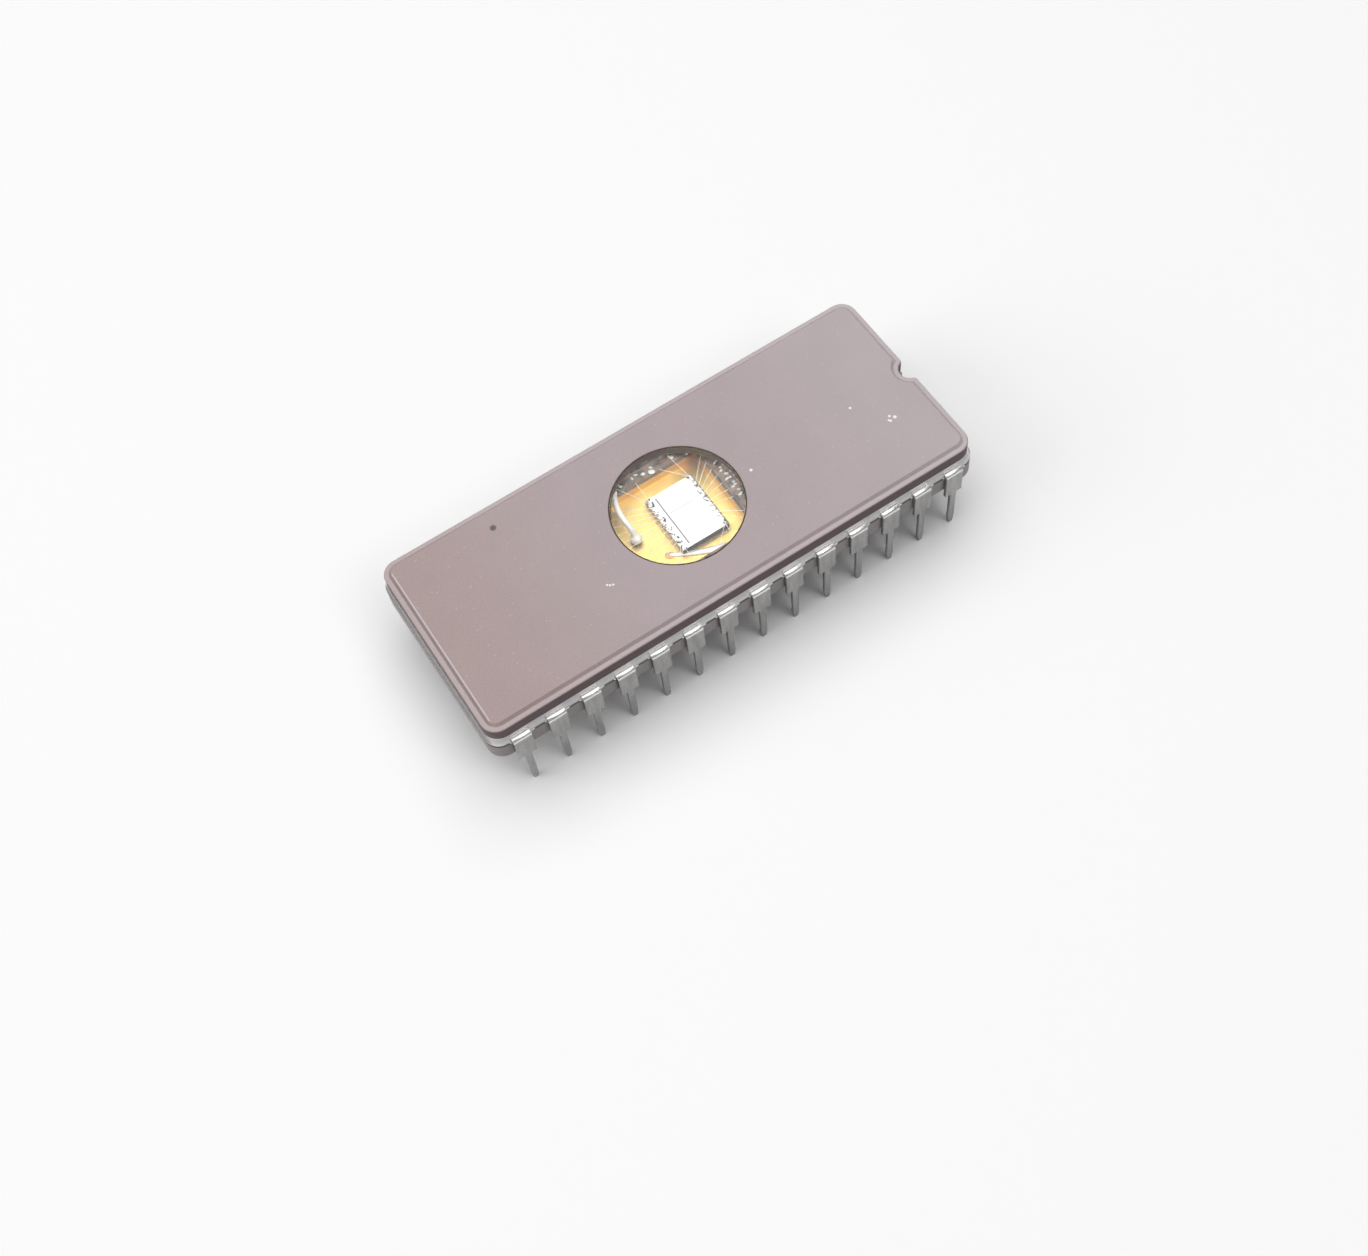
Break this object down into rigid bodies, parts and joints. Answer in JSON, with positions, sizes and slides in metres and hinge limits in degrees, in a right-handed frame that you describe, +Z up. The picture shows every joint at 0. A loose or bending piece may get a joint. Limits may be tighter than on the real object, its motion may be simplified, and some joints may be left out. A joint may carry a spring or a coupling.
{
  "type": "eprom chip in a windowed ceramic dual in-line package",
  "caption": "Ultraviolet-erasable memory chip: ceramic dual in-line package with a round window over a gold cavity, bonded die and two rows of plated pins.",
  "frame": {"origin": "centre of the package in plan, at the height of the lead tips", "axes": "+Y along the package to the end with the notch, +X to the row of leads 15 to 28, +Z up out of the lid"},
  "size_m": [0.0154, 0.037, 0.0076],
  "materials": {
    "ceramic": "matt pressed alumina, grey brown",
    "window": "clear, polished",
    "frit": "glossy fused solder glass",
    "lead_plating": "tin plated iron nickel alloy",
    "gold": "fired gold, satin",
    "solder": "gold silicon preform, satin",
    "silicon": "polished silicon with metal pads",
    "wire": "bright drawn wire"
  },
  "bodies": {
    "root": {"ceramic_base": "ceramic", "ceramic_lid": "ceramic", "window_lens": "window", "seal_glass": "frit", "gold_lining": "gold", "die_attach": "solder", "memory_die": "silicon", "ground_wire": "wire", "lead_01": "lead_plating", "lead_02": "lead_plating", "lead_03": "lead_plating", "lead_04": "lead_plating", "lead_05": "lead_plating", "lead_06": "lead_plating", "lead_07": "lead_plating", "lead_08": "lead_plating", "lead_09": "lead_plating", "lead_10": "lead_plating", "lead_11": "lead_plating", "lead_12": "lead_plating", "lead_13": "lead_plating", "lead_14": "lead_plating", "lead_15": "lead_plating", "lead_16": "lead_plating", "lead_17": "lead_plating", "lead_18": "lead_plating", "lead_19": "lead_plating", "lead_20": "lead_plating", "lead_21": "lead_plating", "lead_22": "lead_plating", "lead_23": "lead_plating", "lead_24": "lead_plating", "lead_25": "lead_plating", "lead_26": "lead_plating", "lead_27": "lead_plating", "lead_28": "lead_plating"}
  },
  "joints": []
}
